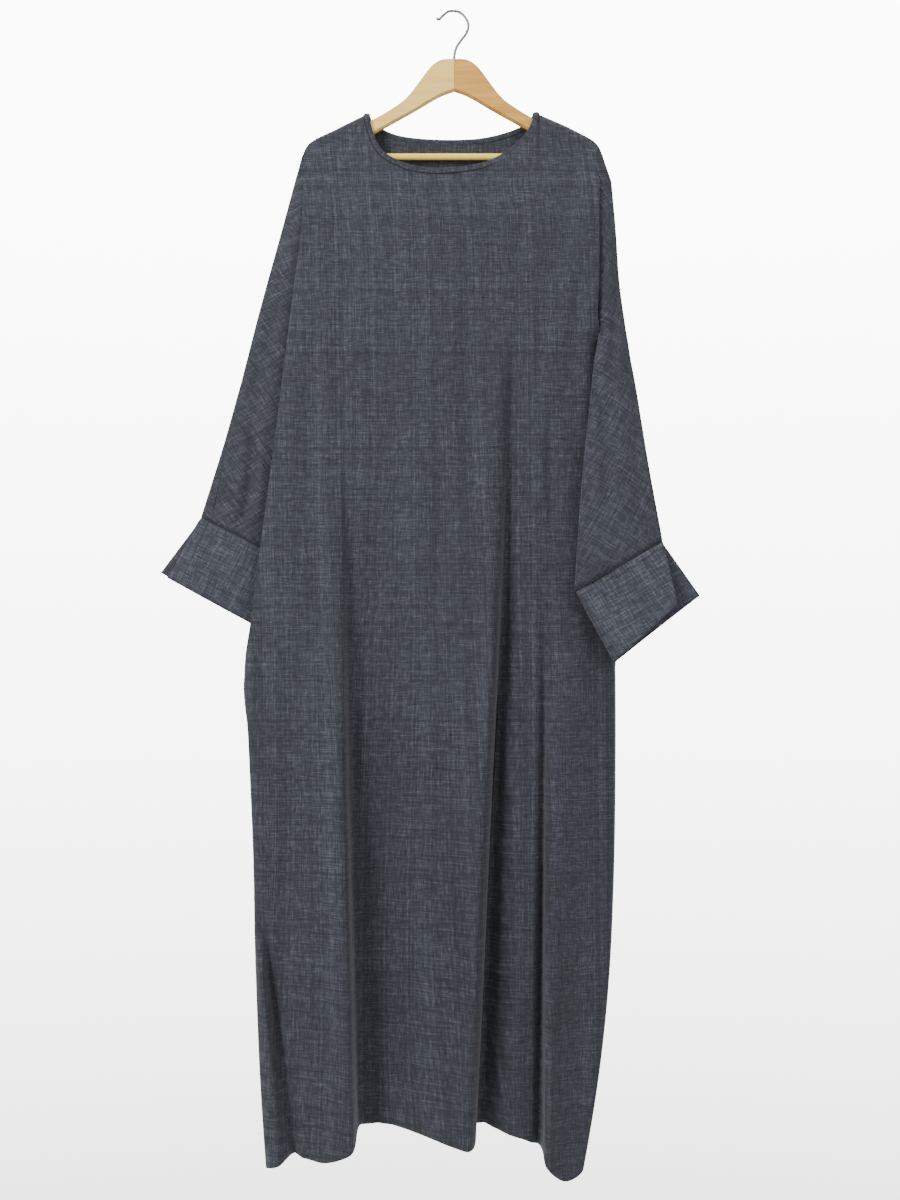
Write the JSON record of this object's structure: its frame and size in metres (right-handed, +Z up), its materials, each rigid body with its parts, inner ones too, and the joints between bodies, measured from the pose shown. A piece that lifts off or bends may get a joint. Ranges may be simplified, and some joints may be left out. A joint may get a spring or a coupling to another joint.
{
  "type": "abaya on a hanger",
  "caption": "Long batwing abaya in charcoal slub-weave cloth with a bound round neck and split cuffs, on a wooden hanger with a bar and a chrome hook.",
  "frame": {"origin": "seat of the hanger's hook: the inside top of its bend", "axes": "+Z up, +X to the viewer's right, -Y out of the garment's front"},
  "size_m": [0.789, 0.1228, 1.709],
  "materials": {
    "cloth": "matte slub weave",
    "wood": "satin lacquer",
    "chrome": "polished"
  },
  "bodies": {
    "root": {"front": "cloth", "back": "cloth", "cuff_left": "cloth", "cuff_right": "cloth", "neck_binding": "cloth", "hanger_arm_left": "wood", "hanger_arm_right": "wood", "hanger_bar": "wood", "hanger_hook": "chrome"}
  },
  "joints": []
}
